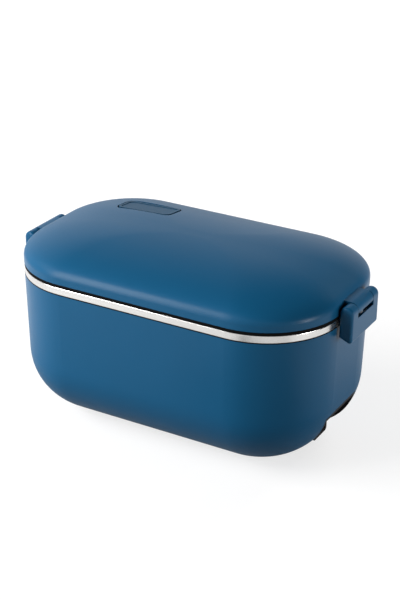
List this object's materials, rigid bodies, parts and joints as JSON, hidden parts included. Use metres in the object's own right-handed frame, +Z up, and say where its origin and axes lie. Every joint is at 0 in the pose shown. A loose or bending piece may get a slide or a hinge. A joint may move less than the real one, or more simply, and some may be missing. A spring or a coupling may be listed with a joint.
{
  "type": "heated lunch box",
  "caption": "Electric heated lunch box with a rounded plastic housing, removable steel pot, domed lid with steam flap, end clips and a power inlet.",
  "frame": {"origin": "on the table under the middle of the box", "axes": "+Z up, +X along the length towards the power inlet, +Y towards the side with the steam flap"},
  "size_m": [0.2504, 0.143, 0.1334],
  "materials": {
    "blue_shell": "satin moulded plastic, fine texture",
    "pale_liner": "plain moulded plastic",
    "black_plastic": "fine moulded texture",
    "stainless_pot": "polished stainless steel, fine brushing",
    "steel_hardware": "zinc-plated",
    "heater_aluminium": "cast and machined",
    "brass_pins": "nickel-plated",
    "dark_silicone": "matt silicone",
    "clear_silicone": "milky silicone",
    "lead_insulation": "silicone braid sleeve"
  },
  "bodies": {
    "base": {"outer_housing": "blue_shell", "base_liner": "pale_liner", "bottom_cover": "black_plastic", "cover_screws": "steel_hardware", "rubber_feet": "dark_silicone", "heating_plate": "heater_aluminium", "plate_seal": "clear_silicone", "heating_element": "heater_aluminium", "heater_strap": "steel_hardware", "strap_screws": "steel_hardware", "thermostat": "heater_aluminium", "thermal_fuse": "heater_aluminium", "fuse_clip": "steel_hardware", "live_lead": "lead_insulation", "thermostat_lead": "lead_insulation", "fuse_lead": "lead_insulation", "neutral_lead": "lead_insulation", "inlet_pocket": "black_plastic", "inlet_socket": "black_plastic", "inlet_pins": "brass_pins", "inlet_screws": "steel_hardware"},
    "pot": {"steel_pot": "stainless_pot"},
    "lid": {"lid_shell": "blue_shell", "lid_liner": "pale_liner", "lid_gasket": "dark_silicone", "clip_pin_right": "steel_hardware", "clip_pin_left": "steel_hardware", "steam_flap_pin": "steel_hardware", "steam_tube": "clear_silicone"},
    "clip_right": {"clip_right": "blue_shell", "clip_right_snap_lip": "blue_shell"},
    "clip_left": {"clip_left": "blue_shell", "clip_left_snap_lip": "blue_shell"},
    "steam_flap": {"steam_flap": "blue_shell", "steam_seal": "clear_silicone"}
  },
  "joints": [
    {"name": "lid_lift", "type": "slide", "parent": "base", "child": "lid", "axis": [0, 0, 1], "range_m": [0, 0.2], "deforming": ["clip_right_snap_lip", "clip_left_snap_lip"]},
    {"name": "pot_lift", "type": "slide", "parent": "base", "child": "pot", "axis": [0, 0, 1], "range_m": [0, 0.09]},
    {"name": "clip_right_hinge", "type": "hinge", "parent": "lid", "child": "clip_right", "pos_m": [0.1206, 0, 0.1111], "axis": [0, -1, 0], "range_deg": [0, 110]},
    {"name": "clip_left_hinge", "type": "hinge", "parent": "lid", "child": "clip_left", "pos_m": [-0.1206, 0, 0.1111], "axis": [0, 1, 0], "range_deg": [0, 110]},
    {"name": "steam_flap_hinge", "type": "hinge", "parent": "lid", "child": "steam_flap", "pos_m": [-0.07071, 0.02857, 0.12862], "axis": [-0.0026, -0.9936, 0.1132], "range_deg": [0, 80]}
  ],
  "couplings": [
    {"joint": "pot_lift", "follows": "lid_lift", "ratio": 0.45}
  ]
}
